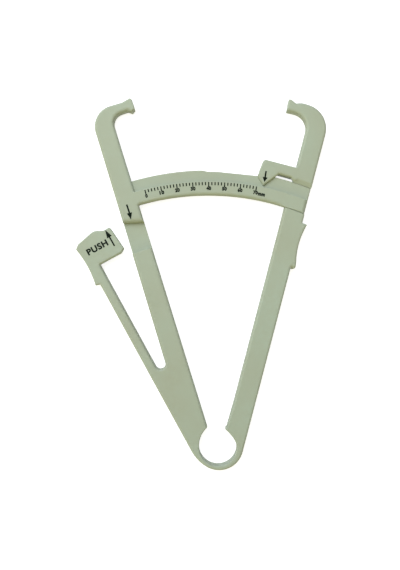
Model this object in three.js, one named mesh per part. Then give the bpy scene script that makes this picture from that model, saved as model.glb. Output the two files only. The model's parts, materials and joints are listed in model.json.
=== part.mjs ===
import * as THREE from 'three';

// A skinfold caliper: one plastic moulding that flexes, lying on its back with the scale face up (+Z)
// and the jaws towards +Y. Sizes are in millimetres and degrees.
// Each arm is drawn from the hinge axis, with "across" square to the arm, positive to the right,
// and "along" running out towards the jaws. The lever is drawn the same way from its own bending point.

// Thickness of the layers
const thickness = 6.8;
const webThickness = 3.2;
const pointerThickness = 1.6;
const runningGap = 0.3;

// How the two arms stand when relaxed, and what is left between them when the jaws meet
const leftTilt = 17.2;
const rightTilt = 14.6;
const closedAngle = 6.4;

// Arms: how far their inner edges stand from the hinge axis, and what is left of them above the scale
const armWidthFoot = 9.9;
const armWidthTop = 9.2;
const leftInnerEdge = 0.3;
const rightInnerEdge = 5;
const armAboveBar = 13.8;

// Hooks and the pads on their ends
const hookRise = 16.8;
const neckHeight = 4.8;
const leftHookRadius = 10;
const rightHookRadius = 11;
const leftNeckLength = 3.5;
const rightNeckLength = 0.5;
const rightHookDrop = 0.7;
const padReach = 12;
const padDepth = 3.2;
const padFaceHeight = 4;
const padLip = 1;
const padLipSetback = 1.6;
const padHeel = 0.5;
const padHeelSetback = 0.8;
const padHeelWidth = 1.8;

// Scale arc, centred on the hinge axis
const scaleInnerRadius = 117.5;
const scaleHeight = 6.4;
const trackHeight = 5.5;
const arcEndInset = 1.7;

// Pointer, which hangs from a bar on the right arm
const barGap = 1.8;
const barHeight = 5;
const barReach = 10.2;
const barSplay = 0.6;
const barCorner = 1.3;
const pointerRoot = 2.75;
const pointerLag = 3.85;
const pointerShoulder = 1.5;

// Finger rest on the right arm, and how far it lies below the scale arc
const restDrop = 5.4;
const restLength = 22.2;
const restHeight = 2.4;
const restHollow = 1.5;
const restCorner = 0.7;

// Ring hinge at the foot: its hole, its thinnest wall and how much its wall swells towards the top.
// The lever's outer edge passes the ring's circle at a small distance, and a wider arc joins the two.
// The mouth's corners stand a step above the hole's top
const ringHoleRadius = 8.7;
const ringWall = 2.3;
const ringSwell = 0.5;
const ringCentreAlong = 0.25;
const ringHoleShift = 0.43;
const ringBlendRadius = 19.3;
const ringToLeverLine = 1.134;
const mouthLeftStep = 0.9;
const mouthRightStep = 2.1;
const footHeight = 4.3;

// Press lever, drawn from the point where its root bends, which lies a little above the fork's round
const forkBelowPivot = 4.23;
const leverTravel = 11.5;
const leverWidth = 4.3;
const leverRootHalf = 4.8;
const forkRadius = 2.5;

// Paddle and grip at the lever's end. When pressed, the paddle ends this far below the scale arc
const paddleDrop = 20.2;
const paddleHeight = 13.6;
const paddleWidth = 13.7;
const paddleCorner = 1.8;
const paddleShoulder = 1.1;
const paddleSlope = 0.25;
const paddleCrest = 5.5;
const paddleDip = 0.55;
const paddleDipSetback = 4.4;
const gripDrop = 8.3;
const gripReach = 2.1;
const gripHollow = 1;
const gripTipDrop = 2.1;
const paddleClearance = 0.4;
const stepSlope = 0.255;

const arcSteps = 40;
const cornerSteps = 10;
const plastic = { color: 0xacb69e, roughness: 0.5, metalness: 0 };

// Values that follow from the sizes above
const closing = leftTilt + rightTilt - closedAngle;
const arcBottom = webThickness + runningGap;
const pointerBottom = thickness - pointerThickness;
const trackTop = pointerBottom - runningGap;
const channelRadius = scaleInnerRadius - runningGap;
const scaleEdgeRadius = scaleInnerRadius + scaleHeight;
const pointerRadius = scaleEdgeRadius + runningGap;
const trackOuterRadius = scaleEdgeRadius + trackHeight;
const barLowerRadius = trackOuterRadius + barGap;
const barTop = barLowerRadius + barHeight;
const hookStart = barTop + armAboveBar;
const neckTop = hookStart + hookRise;
const rightOuterEdge = rightInnerEdge + armWidthFoot;
const rightUpperInner = rightOuterEdge - armWidthTop;
const ringOuterRadius = ringHoleRadius + ringWall + ringSwell;

const radians = THREE.MathUtils.degToRad;
const point = (x, y) => new THREE.Vector2(x, y);
const turned = (spot, degrees) => spot.clone().rotateAround(point(0, 0), radians(degrees));
const fromLeft = (across, along) => turned(point(across, along), leftTilt);
const fromRight = (across, along) => turned(point(across, along), -rightTilt);

// Ring hinge: its outer circle touches the right arm's outer edge
const ringCentre = fromRight(rightOuterEdge - ringOuterRadius, ringCentreAlong);

// The fork between lever and arm ends in a round that touches the arm's left edge and the lever's right edge.
// The lever's outer edge passes the ring, which leaves one place for the point where the lever bends
const forkAcross = leftInnerEdge - armWidthFoot - forkRadius;
const leverNormal = turned(point(1, 0), leverTravel);
const forkFromPivot = turned(point(leverWidth / 2 + forkRadius, -forkBelowPivot), leverTravel);
const leverPivotAcross = forkAcross - forkFromPivot.x;
const leverEdgeReach = turned(ringCentre, -leftTilt).dot(leverNormal)
  - ringOuterRadius - ringToLeverLine + leverWidth / 2;
const leverPivotAlong = (leverEdgeReach - leverPivotAcross * leverNormal.x) / leverNormal.y;
const leverPivot = point(leverPivotAcross, leverPivotAlong);
const forkCentre = leverPivot.clone().add(forkFromPivot);
const forkAlong = forkCentre.y;
const paddleBottom = scaleInnerRadius - paddleDrop - leverPivotAlong;

const leverToLeft = (across, along) => turned(point(across, along), leverTravel).add(leverPivot);
const fromLever = (across, along) => turned(leverToLeft(across, along), leftTilt);

// Outline points of an arc, both ends included, angles in degrees counter-clockwise from +X
function arcPoints(centre, radius, from, to, steps) {
  return Array.from({ length: steps + 1 }, (_, i) => {
    const angle = radians(from + ((to - from) * i) / steps);
    return point(centre.x + radius * Math.cos(angle), centre.y + radius * Math.sin(angle));
  });
}

// Outline points of a corner, rounded between the neighbours before and after it
function roundCorner(before, corner, after, radius) {
  const start = corner.clone().add(before.clone().sub(corner).setLength(radius));
  const end = corner.clone().add(after.clone().sub(corner).setLength(radius));
  return new THREE.QuadraticBezierCurve(start, corner, end).getPoints(cornerSteps);
}

// A hollow or swell between two points: a parabola whose middle stands off to the left by the given height
function bowed(from, to, height) {
  const middle = from.clone().add(to).multiplyScalar(0.5);
  const direction = to.clone().sub(from).normalize();
  const control = middle.add(point(-direction.y, direction.x).multiplyScalar(2 * height));
  return new THREE.QuadraticBezierCurve(from, control, to).getPoints(cornerSteps * 2);
}

// Degrees counter-clockwise from +X of a point seen from a centre
function bearing(centre, spot) {
  return THREE.MathUtils.radToDeg(Math.atan2(spot.y - centre.y, spot.x - centre.x));
}

// How far along an arm a circle about the hinge crosses the line at this distance across
const alongAt = (radius, across) => Math.sqrt(radius * radius - across * across);

function plate(name, outline, bottom, top) {
  const shape = new THREE.Shape(outline);
  const geometry = new THREE.ExtrudeGeometry(shape, { depth: top - bottom, bevelEnabled: false });
  geometry.translate(0, 0, bottom);
  const mesh = new THREE.Mesh(geometry, new THREE.MeshStandardMaterial(plastic));
  mesh.name = name;
  return mesh;
}

// Width of the left arm, which narrows from the fork towards the jaw
function leftArmWidth(along) {
  const share = THREE.MathUtils.clamp((along - forkAlong) / (hookStart - forkAlong), 0, 1);
  return THREE.MathUtils.lerp(armWidthFoot, armWidthTop, share);
}
const leftOuter = (along) => point(leftInnerEdge - leftArmWidth(along), along);
const leftInner = (along) => point(leftInnerEdge, along);

// Jaw pads. The pad is drawn on the left arm, and the right pad is its mirror image when the jaws are closed
const padMiddle = neckTop - neckHeight / 2;
const padBackTop = point(padReach - padDepth, neckTop);
const padBackBottom = point(padReach - padDepth, neckTop - neckHeight);
const padProfile = [
  padBackBottom,
  point(padReach - padLipSetback, neckTop - neckHeight - padLip),
  point(padReach, padMiddle - padFaceHeight / 2),
  point(padReach, padMiddle + padFaceHeight / 2),
  point(padReach - padHeelSetback, neckTop + padHeel),
  point(padReach - padHeelSetback - padHeelWidth, neckTop + padHeel),
  padBackTop,
];

function toRightPad(spot) {
  const mirrored = point(2 * padReach + runningGap - spot.x, spot.y - rightHookDrop);
  return turned(mirrored, closedAngle);
}

const leftJawPad = () => plate('left_jaw_pad', padProfile, 0, thickness);
const rightJawPad = () => plate('right_jaw_pad', padProfile.map(toRightPad), 0, thickness);

// Hook: the arm's two edges turn in towards the jaw, round an outer and an inner arc
function leftHook() {
  const innerRadius = padBackBottom.x - leftNeckLength - leftInnerEdge;
  const outerCentre = point(leftOuter(hookStart).x + leftHookRadius, neckTop - leftHookRadius);
  const innerCentre = point(leftInnerEdge + innerRadius, padBackBottom.y - innerRadius);
  return plate('left_hook', [
    leftOuter(hookStart),
    ...arcPoints(outerCentre, leftHookRadius, 180, 90, arcSteps),
    padBackTop,
    padBackBottom,
    ...arcPoints(innerCentre, innerRadius, 90, 180, arcSteps),
    leftInner(hookStart),
  ], 0, thickness);
}

function rightHook() {
  const top = neckTop - rightHookDrop;
  const backBottom = toRightPad(padBackBottom);
  const innerRadius = rightUpperInner - backBottom.x - rightNeckLength;
  const outerCentre = point(rightOuterEdge - rightHookRadius, top - rightHookRadius);
  const innerCentre = point(rightUpperInner - innerRadius, top - neckHeight - innerRadius);
  return plate('right_hook', [
    point(rightOuterEdge, hookStart),
    ...arcPoints(outerCentre, rightHookRadius, 0, 90, arcSteps),
    toRightPad(padBackTop),
    backBottom,
    ...arcPoints(innerCentre, innerRadius, 90, 0, arcSteps),
    point(rightUpperInner, hookStart),
  ], 0, thickness);
}

// The recess in the left arm lets the pressed paddle pass over. Its top edge follows the paddle's top edge,
// and its bottom edge the paddle's bottom edge, both at full press
const paddleTopRight = point(leverWidth / 2 + paddleWidth, paddleBottom + paddleHeight);
const stepMiddle = leverPivot.clone().add(paddleTopRight).add(point(-paddleShoulder, paddleClearance));
const stepAt = (across) => stepMiddle.y - (across - stepMiddle.x) * stepSlope;
const recessBottom = leverPivotAlong + paddleBottom - paddleClearance;
const stepLeft = point(leftOuter(stepAt(-armWidthTop)).x, stepAt(leftOuter(stepAt(-armWidthTop)).x));
const stepRight = point(leftInnerEdge, stepAt(leftInnerEdge));

function leftArmUpper() {
  const corners = [leftOuter(hookStart), stepLeft, stepRight, leftInner(hookStart)];
  return plate('left_arm_upper', corners, 0, thickness);
}

function leftArmWeb() {
  const corners = [stepLeft, leftOuter(recessBottom), leftInner(recessBottom), stepRight];
  return plate('left_arm_web', corners, 0, webThickness);
}

function leftArmLower() {
  const corners = [leftOuter(recessBottom), leftOuter(forkAlong), leftInner(forkAlong), leftInner(recessBottom)];
  return plate('left_arm_lower', corners, 0, thickness);
}

// Scale arc. It grows out of the left arm's inner edge and ends just inside the right arm's outer edge
const arcStart = (radius) => bearing(point(0, 0), point(leftInnerEdge, alongAt(radius, leftInnerEdge)));
function arcEnd(radius) {
  const across = rightOuterEdge - arcEndInset;
  return bearing(point(0, 0), point(across, alongAt(radius, across))) - leftTilt - rightTilt;
}

function arcBand(name, innerRadius, outerRadius, top) {
  const hinge = point(0, 0);
  return plate(name, [
    ...arcPoints(hinge, outerRadius, arcStart(outerRadius), arcEnd(outerRadius), arcSteps),
    ...arcPoints(hinge, innerRadius, arcEnd(innerRadius), arcStart(innerRadius), arcSteps),
  ], arcBottom, top);
}

const scalePlate = () => arcBand('scale_plate', scaleInnerRadius, scaleEdgeRadius, thickness);
const pointerTrack = () => arcBand('pointer_track', scaleEdgeRadius, trackOuterRadius, trackTop);

// Right arm. A channel for the scale arc crosses it, between two walls that are round about the hinge
function channelWall(radius, fromAcross, toAcross) {
  const from = bearing(point(0, 0), point(fromAcross, alongAt(radius, fromAcross)));
  const to = bearing(point(0, 0), point(toAcross, alongAt(radius, toAcross)));
  return arcPoints(point(0, 0), radius, from, to, cornerSteps);
}

const upperWall = () => channelWall(barLowerRadius, rightUpperInner, rightOuterEdge);
const lowerWall = () => channelWall(channelRadius, rightInnerEdge, rightOuterEdge);

function rightArmUpper() {
  const outline = [...upperWall(), point(rightOuterEdge, hookStart), point(rightUpperInner, hookStart)];
  return plate('right_arm_upper', outline, 0, thickness);
}

const rightArmWeb = () => plate('right_arm_web', [...lowerWall(), ...upperWall().reverse()], 0, webThickness);

function rightArmLower() {
  const foot = [point(rightInnerEdge, footTop), point(rightOuterEdge, footTop)];
  return plate('right_arm_lower', [...foot, ...lowerWall().reverse()], 0, thickness);
}

// Pointer bar and pointer. They meet on a straight line from the bar's left edge to the pointer's root
const barLeft = point(-barReach - barSplay, alongAt(barLowerRadius, barReach + barSplay));
const barSplit = point(-pointerRoot, alongAt(barLowerRadius, pointerRoot));

function pointerBar() {
  const corner = point(-barReach, barTop);
  const armCorner = point(rightUpperInner, barTop);
  return plate('pointer_bar', [
    barLeft,
    ...channelWall(barLowerRadius, -pointerRoot, rightUpperInner),
    armCorner,
    ...roundCorner(armCorner, corner, barLeft, barCorner),
  ], 0, thickness);
}

function pointer() {
  const tip = turned(point(0, pointerRadius), pointerLag);
  const shoulder = point(-barReach - barSplay / 2, tip.y + pointerShoulder);
  return plate('pointer', [barLeft, shoulder, tip, barSplit], pointerBottom, thickness);
}

// Finger rest: two low horns on the right arm's outer edge with a hollow between them
function fingerRest() {
  const restTop = channelRadius - restDrop;
  const restBottom = restTop - restLength;
  const upperHorn = point(rightOuterEdge + restHeight, restTop - restCorner);
  const lowerHorn = point(rightOuterEdge + restHeight, restBottom + restCorner);
  const lowerRoot = point(rightOuterEdge, restBottom);
  return plate('finger_rest', [
    lowerRoot,
    ...roundCorner(lowerRoot, point(lowerHorn.x, restBottom), lowerHorn, restCorner),
    ...bowed(lowerHorn, upperHorn, restHollow),
    point(rightOuterEdge, restTop),
  ], 0, thickness);
}

// A wider arc leads the ring's circle into the lever's outer edge, tangent to both.
// The ring's hole sits off centre, so that its wall is thinnest at the bottom left
const holeCentre = point(ringCentre.x - ringHoleShift,
  ringCentre.y - ringOuterRadius + ringWall + ringHoleRadius);
const mouthLeft = holeCentre.y + ringHoleRadius + mouthLeftStep;
const mouthRight = holeCentre.y + ringHoleRadius + mouthRightStep;
const footTop = mouthRight + footHeight;
const outwards = turned(point(1, 0), leftTilt + leverTravel);
const blendShift = ringBlendRadius - ringOuterRadius;
const blendTurn = THREE.MathUtils.radToDeg(Math.acos(1 - ringToLeverLine / blendShift));
const blendAngle = leftTilt + leverTravel + blendTurn + 180;
const blendCentre = ringCentre.clone().sub(turned(point(blendShift, 0), blendAngle));

// Where the ring is cut from the fork root, square to the lever's outer edge, and from the right foot
const leftCutOuter = blendCentre.clone().addScaledVector(outwards, -ringBlendRadius);
const leftCutOffset = leftCutOuter.clone().sub(holeCentre);
const leftCutReach = -leftCutOffset.dot(outwards);
const leftCutMiss = Math.abs(leftCutOffset.cross(outwards));
const leftCutInner = leftCutOuter.clone()
  .addScaledVector(outwards, leftCutReach - alongAt(ringHoleRadius, leftCutMiss));
const leftCutBearing = THREE.MathUtils.euclideanModulo(bearing(holeCentre, leftCutInner), 360);
const holeFromRight = turned(holeCentre, rightTilt);
const rightCutInner = fromRight(
  holeFromRight.x + alongAt(ringHoleRadius, ringCentreAlong - holeFromRight.y), ringCentreAlong);

// The ring's hole opens towards the arms: from each mouth corner a straight edge runs onto the hole
function holeTangent(corner, side) {
  const away = corner.distanceTo(holeCentre);
  const spread = THREE.MathUtils.radToDeg(Math.acos(ringHoleRadius / away));
  return bearing(holeCentre, corner) + side * spread;
}

function hingeRing() {
  const innerEnd = bearing(holeCentre, rightCutInner);
  return plate('hinge_ring', [
    ...arcPoints(blendCentre, ringBlendRadius, blendAngle - blendTurn, blendAngle, cornerSteps),
    ...arcPoints(ringCentre, ringOuterRadius, blendAngle, 360 - rightTilt, arcSteps).slice(1),
    ...arcPoints(holeCentre, ringHoleRadius, innerEnd, leftCutBearing - 360, arcSteps),
  ], 0, thickness);
}

// Right foot: the end of the right arm, between the mouth's corner and the ring
function rightFoot() {
  const corner = fromRight(rightInnerEdge, mouthRight);
  return plate('right_foot', [
    fromRight(rightInnerEdge, footTop),
    corner,
    ...arcPoints(holeCentre, ringHoleRadius, holeTangent(corner, -1), bearing(holeCentre, rightCutInner),
      cornerSteps),
    fromRight(rightOuterEdge, ringCentreAlong),
    fromRight(rightOuterEdge, footTop),
  ], 0, thickness);
}

// Fork root: the wedge that carries the left arm and the lever, down to the ring
function forkRoot() {
  const corner = fromLeft(leftInnerEdge, mouthLeft);
  const fork = arcPoints(forkCentre, forkRadius, 0, leverTravel - 180, cornerSteps * 2)
    .map((spot) => turned(spot, leftTilt));
  const leverFoot = fromLever(-leverWidth / 2, -leverRootHalf);
  const leverSide = fromLever(leverWidth / 2, -leverRootHalf);
  return plate('fork_root', [
    fromLeft(leftInnerEdge, forkAlong),
    ...fork,
    leverSide,
    leverFoot,
    leftCutOuter,
    ...arcPoints(holeCentre, ringHoleRadius, leftCutBearing, holeTangent(corner, 1), cornerSteps),
    corner,
  ], 0, thickness);
}

// Lever root: the short stretch that bends when the paddle is pressed
function leverRoot() {
  const half = leverWidth / 2;
  const corners = [point(-half, -leverRootHalf), point(half, -leverRootHalf), point(half, leverRootHalf),
    point(-half, leverRootHalf)];
  return plate('lever_root', corners, 0, thickness);
}

// Paddle top edge, which rises a little from the grip and dips before the corner that meets the step
const paddleTop = paddleBottom + paddleHeight;
const beamTopRight = paddleTop + leverWidth * paddleSlope;

function leverBeam() {
  const half = leverWidth / 2;
  const corners = [point(-half, leverRootHalf), point(half, leverRootHalf), point(half, beamTopRight),
    point(-half, paddleTop)];
  return plate('lever_beam', corners, 0, thickness);
}

// Paddle: a thin plate level with the scale face, so that it can slide over the left arm's web
function pressPaddle() {
  const left = leverWidth / 2;
  const right = left + paddleWidth;
  const lowerRight = point(right, paddleBottom);
  const upperRight = point(right - paddleShoulder, paddleTop);
  const dip = point(right - paddleDipSetback, paddleTop - paddleDip);
  const crest = point(left + paddleCrest, beamTopRight);
  return plate('press_paddle', [
    point(left, paddleBottom),
    ...roundCorner(point(left, paddleBottom), lowerRight, upperRight, paddleCorner),
    ...roundCorner(lowerRight, upperRight, dip, paddleShoulder),
    ...roundCorner(upperRight, dip, crest, paddleShoulder),
    ...roundCorner(dip, crest, point(left, beamTopRight), paddleShoulder),
    point(left, beamTopRight),
  ], arcBottom, thickness);
}

// Finger grip: the flange along the lever's left edge, hollowed for a fingertip
function fingerGrip() {
  const edge = -leverWidth / 2;
  const gripBottom = paddleBottom - gripDrop;
  const upperTip = point(edge - gripReach, paddleTop - gripTipDrop);
  const lowerTip = point(edge - gripReach, gripBottom + gripHollow);
  return plate('finger_grip', [
    point(edge, gripBottom),
    point(edge, paddleTop),
    ...bowed(upperTip, lowerTip, gripHollow),
  ], 0, thickness);
}

const lever = new THREE.Group();
lever.position.set(leverPivotAcross, leverPivotAlong, 0);
lever.rotation.z = radians(leverTravel);
lever.add(leverRoot(), leverBeam(), pressPaddle(), fingerGrip());

const leftLimb = new THREE.Group();
leftLimb.rotation.z = radians(leftTilt);
leftLimb.add(leftJawPad(), leftHook(), leftArmUpper(), leftArmWeb(), leftArmLower(), scalePlate(),
  pointerTrack(), lever);

const rightLimb = new THREE.Group();
rightLimb.rotation.z = radians(-rightTilt);
rightLimb.add(rightJawPad(), rightHook(), rightArmUpper(), rightArmWeb(), rightArmLower(), pointerBar(),
  pointer(), fingerRest());

// The origin is the middle of the footprint, on the surface that the caliper lies on
const caliper = new THREE.Group();
caliper.add(forkRoot(), hingeRing(), rightFoot(), leftLimb, rightLimb);
const middle = new THREE.Box3().setFromObject(caliper).getCenter(new THREE.Vector3());
caliper.position.set(-middle.x, -middle.y, 0);

const group = new THREE.Group();
group.add(caliper);

const leverAxis = turned(leverPivot, leftTilt);
console.log(`hinge axis at ${(-middle.x).toFixed(3)}, ${(-middle.y).toFixed(3)} mm; `
  + `the right arm closes by ${closing.toFixed(2)} degrees`);
console.log(`lever bends about ${(leverAxis.x - middle.x).toFixed(3)}, ${(leverAxis.y - middle.y).toFixed(3)} mm`);

export default group;
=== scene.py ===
import json
import math

import bpy
import numpy as np
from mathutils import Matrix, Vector


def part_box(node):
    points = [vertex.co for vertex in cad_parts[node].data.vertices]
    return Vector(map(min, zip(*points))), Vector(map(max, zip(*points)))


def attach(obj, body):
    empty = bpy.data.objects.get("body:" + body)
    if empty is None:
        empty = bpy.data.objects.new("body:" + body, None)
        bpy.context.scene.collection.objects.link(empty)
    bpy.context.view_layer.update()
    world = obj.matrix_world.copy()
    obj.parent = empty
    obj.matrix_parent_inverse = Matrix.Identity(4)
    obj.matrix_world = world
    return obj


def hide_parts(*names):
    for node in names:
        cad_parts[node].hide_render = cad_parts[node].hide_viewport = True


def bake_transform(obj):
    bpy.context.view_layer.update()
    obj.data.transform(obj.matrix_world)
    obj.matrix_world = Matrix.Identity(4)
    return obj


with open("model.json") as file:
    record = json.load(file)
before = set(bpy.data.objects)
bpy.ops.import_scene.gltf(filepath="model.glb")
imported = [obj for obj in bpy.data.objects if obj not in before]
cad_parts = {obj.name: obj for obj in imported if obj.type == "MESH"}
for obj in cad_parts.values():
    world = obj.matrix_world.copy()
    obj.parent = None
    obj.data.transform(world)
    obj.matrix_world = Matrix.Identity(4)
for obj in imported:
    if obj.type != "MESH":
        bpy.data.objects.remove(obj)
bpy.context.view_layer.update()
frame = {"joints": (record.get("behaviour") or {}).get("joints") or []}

# The moulding is drawn in millimetres from the hinge axis, as flat outlines that become rounded plates.
# An outline is a list of rows, counter-clockwise: across, along, corner radius, and the share of the
# plate's edge rounding that the edge from this row to the next one takes.
mm = 0.001
joints = {joint["name"]: joint for joint in frame["joints"]}
hinge = np.array(joints["arm_swing"]["pos_m"][:2]) / mm
leverPivot = np.array(joints["lever_press"]["pos_m"][:2]) / mm - hinge

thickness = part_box("left_hook")[1].z / mm
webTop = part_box("right_arm_web")[1].z / mm
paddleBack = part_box("press_paddle")[0].z / mm
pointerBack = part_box("pointer")[0].z / mm

shared = {
    "inkHeight": 0.015,      # the print stands this proud of the scale face
    "sink": 0.012,           # a hidden end lies this deep in the piece that it runs into
    "overlap": 1.6,          # and runs this far into it
    "edgeRound": 1.1,        # rounding of the arms' edges
    "thinShare": 0.36,       # share of it on thin parts: bar, pointer and channel walls
    "leverShare": 0.85,      # on the press lever
    "holeShare": 0.42,       # on the hinge ring, at its hole
    "ringShare": 1.1,        # and outside
    "flush": 0.02,           # on a cut that another piece carries on from
    "lip": 0.2,              # flat rim inside the rounding, which keeps the shading clean
    "partingGroove": 0.07,   # the mould's parting line
    "hairline": 0.01,        # rounding where two layers of one arm meet
    "rampFrom": 1.05,        # from this excess on, a round becomes a straight ramp
    "rampBlend": 0.4,
    "fullRise": 0.95,        # share of a plate's height that a broad rounding may take
    "leastCorner": 0.003,    # radius that an outer corner always keeps
    "nearlyStraight": 0.01,  # 1 - cosine of a turn too small to count as a corner
    "sharpAngle": 38,        # degrees between faces whose shared edge shows
}
detail = {                   # steps along curves
    "quarterRound": 7,
    "cornerDegrees": 8.0,    # one step of a corner's arc
    "arc": 70,
    "pastDip": 12,
    "beforeDip": 24,
    "channel": 4,
    "fork": 24,
    "hollow": 24,
    "bend": 14,
    "ease": 6,
    "ring": 95,
    "leverRoot": 35,
    "letter": 4,             # in each curve of a letter
}
faceTop = thickness - shared["inkHeight"]
partingHeight = (webTop + paddleBack) / 2

limbs = {
    "leftTilt": 17.2,        # degrees from upright
    "rightTilt": 14.6,
    "leftInner": 0.3,        # inner edges, each in its arm's frame
    "rightInner": 5.0,
    "footWidth": 9.9,
    "topWidth": 9.2,
    "hookStart": 150.0,
    "neckTop": 166.8,
    "neckHeight": 5.05,
    "leftHookRadius": 10.0,
    "leftThroatRadius": 5.0,
    "rightHookRadius": 11.6,
    "rightThroatRadius": 7.2,
    "throatShare": 1.5,
    "crownAcross": 0.6,
    "crownRadius": 6.0,
    "rightDrop": 0.7,        # the right hook's top is this much lower than the left one's
    "crownRise": 0.4,        # it rises by this to the crown
    "heelDrop": 0.2,         # and falls by this to the arm's outer edge
    "neckSlimming": 0.35,    # and is this much slimmer at its neck
}
rightOuter = limbs["rightInner"] + limbs["footWidth"]
rightUpperInner = rightOuter - limbs["topWidth"]


def turned(points, degrees):
    # each point goes round the hinge axis: x cos - y sin, x sin + y cos
    angle = math.radians(degrees)
    c, s = math.cos(angle), math.sin(angle)
    return np.asarray(points, float) @ np.array([[c, s], [-s, c]])


def turnedRows(rows, degrees, shift=(0, 0)):
    rows = np.array(rows, float)
    rows[:, :2] = turned(rows[:, :2], degrees) + np.asarray(shift)
    return rows


def leftOf(vectors):
    # each vector a quarter turn to the left: -y, x
    return np.stack([-vectors[..., 1], vectors[..., 0]], axis=-1)


def crossOf(first, second):
    # the first's x times the second's y, less the first's y times the second's x
    return first[..., 0] * second[..., 1] - first[..., 1] * second[..., 0]


def unitAt(angles):
    return np.column_stack([np.cos(angles), np.sin(angles)])


def bearing(centre, spot):
    return math.degrees(math.atan2(spot[1] - centre[1], spot[0] - centre[0]))


def alongAt(radius, across):
    return math.sqrt(radius * radius - across * across)


def pathRows(points, share):
    # rows without corners along a curve; the rounding share may run from one value to another
    first, last = share if isinstance(share, tuple) else (share, share)
    return np.column_stack([points, np.zeros(len(points)), np.linspace(first, last, len(points))])


def arcRows(centre, radius, start, end, steps, share=1.0):
    # points of a circle at even angles in degrees: centre + radius (cos, sin)
    angles = np.radians(np.linspace(start, end, steps + 1))
    return pathRows(np.asarray(centre) + radius * unitAt(angles), share)


def hollowRows(start, end, depth, share):
    # a parabola between two points, its middle off to the left by the depth: 4 t (1 - t) times the depth
    start, end = np.asarray(start, float), np.asarray(end, float)
    t = np.linspace(0, 1, detail["hollow"] + 1)[:, None]
    heading = (end - start) / np.linalg.norm(end - start)
    return pathRows(start + (end - start) * t + leftOf(heading) * 4 * depth * t * (1 - t), share)


def easedRows(start, end, share):
    # a straight edge whose rounding share changes on the way: (1 - t) start + t end
    t = np.linspace(0, 1, detail["ease"] + 1)[:, None]
    return pathRows(np.asarray(start, float) * (1 - t) + np.asarray(end, float) * t, share)


def bentRows(start, startHeading, end, endHeading, share):
    # a bend that leaves one point and arrives at another with given headings in degrees: a quadratic curve,
    # (1 - t)^2 start + 2 t (1 - t) middle + t^2 end, whose middle point is where the two headings cross
    start, end = np.asarray(start, float), np.asarray(end, float)
    leaving, arriving = turned((1, 0), startHeading), turned((1, 0), endHeading)
    middle = start + crossOf(end - start, arriving) / crossOf(leaving, arriving) * leaving
    t = np.linspace(0, 1, detail["bend"] + 1)[:, None]
    return pathRows((1 - t) ** 2 * start + 2 * t * (1 - t) * middle + t ** 2 * end, share)


def insetRing(rows, depth):
    # Each edge moves inwards by the depth times its share, and each corner is where its two edges meet.
    # A corner radius is an arc that touches both edges: an outer corner's shrinks by the inset, an inner
    # corner's grows. Returns the ring's points and the rounding share at each.
    spots = rows[:, :2]
    arriving = spots - np.roll(spots, 1, axis=0)
    arriving = arriving / np.linalg.norm(arriving, axis=1, keepdims=True)
    leaving = np.roll(arriving, -1, axis=0)
    normalIn, normalOut = leftOf(arriving), leftOf(leaving)
    shareOut = rows[:, 3]
    shareIn = np.roll(shareOut, 1)
    cosine = np.sum(normalIn * normalOut, axis=1)
    mean = ((shareIn + shareOut) / 2 / (1 + cosine))[:, None] * (normalIn + normalOut)
    bent = 1 - cosine > shared["nearlyStraight"]
    skew = np.where(bent, (shareIn - shareOut) / 2 / np.where(bent, 1 - cosine, 1), 0)[:, None]
    corners = spots + depth * (mean + skew * (normalIn - normalOut))

    turn = np.arctan2(crossOf(arriving, leaving), cosine)
    side = np.where(turn < 0, -1.0, 1.0)
    shrink = depth * (shareIn + shareOut) / 2
    filleted = rows[:, 2] > 0
    outerRadius = np.maximum(rows[:, 2] - shrink, shared["leastCorner"])
    radius = np.where(filleted, np.where(side > 0, outerRadius, rows[:, 2] + shrink), 0)
    middle = (normalIn + normalOut) / np.linalg.norm(normalIn + normalOut, axis=1, keepdims=True)
    centres = corners + middle * (side * radius / np.cos(turn / 2))[:, None]

    steps = np.ceil(np.abs(np.degrees(turn)) / detail["cornerDegrees"]).astype(int) + 1
    steps = np.where(filleted, steps, 0)
    counts = steps + 1
    index = np.repeat(np.arange(len(rows)), counts)
    place = np.arange(counts.sum()) - np.repeat(np.cumsum(counts) - counts, counts)
    t = place / np.maximum(steps, 1)[index]
    swing = (turn[index] * t)[:, None]
    facing = normalIn[index] * np.cos(swing) + leftOf(normalIn[index]) * np.sin(swing)
    points = centres[index] - facing * (side * radius)[index][:, None]
    share = np.where(filleted[index], shareIn[index] * (1 - t) + shareOut[index] * t,
                     np.maximum(shareIn, shareOut)[index])
    return points, share


def inScene(name, data):
    made = bpy.data.objects.new(name, data)
    bpy.context.scene.collection.objects.link(made)
    return made


def shellFaces(rings, count):
    # walls between neighbouring rings of points, each ring closed on itself, and caps on the end rings
    here = np.arange(count)
    start = np.arange(rings - 1)[:, None] * count
    first, second = start + here, start + (here + 1) % count
    walls = np.stack([first, second, second + count, first + count], axis=-1)
    return walls.reshape(-1, 4), np.array([here[::-1], (rings - 1) * count + here])


def meshFrom(name, vertices, walls, caps, edge):
    # puts whole arrays into a mesh; vertices come in millimetres from the hinge axis
    mesh = bpy.data.meshes.new(name)
    mesh.from_pydata((vertices + np.array([*hinge, 0])) * mm, [], [*walls.tolist(), *caps.tolist()])
    mesh.polygons.foreach_set("use_smooth", np.arange(len(mesh.polygons)) < len(walls))
    attribute = mesh.attributes.new("edge", "FLOAT", "POINT")
    attribute.data.foreach_set("value", edge.astype(np.float32))
    mesh.set_sharp_from_angle(angle=math.radians(shared["sharpAngle"]))
    return inScene(name, mesh)


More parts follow.
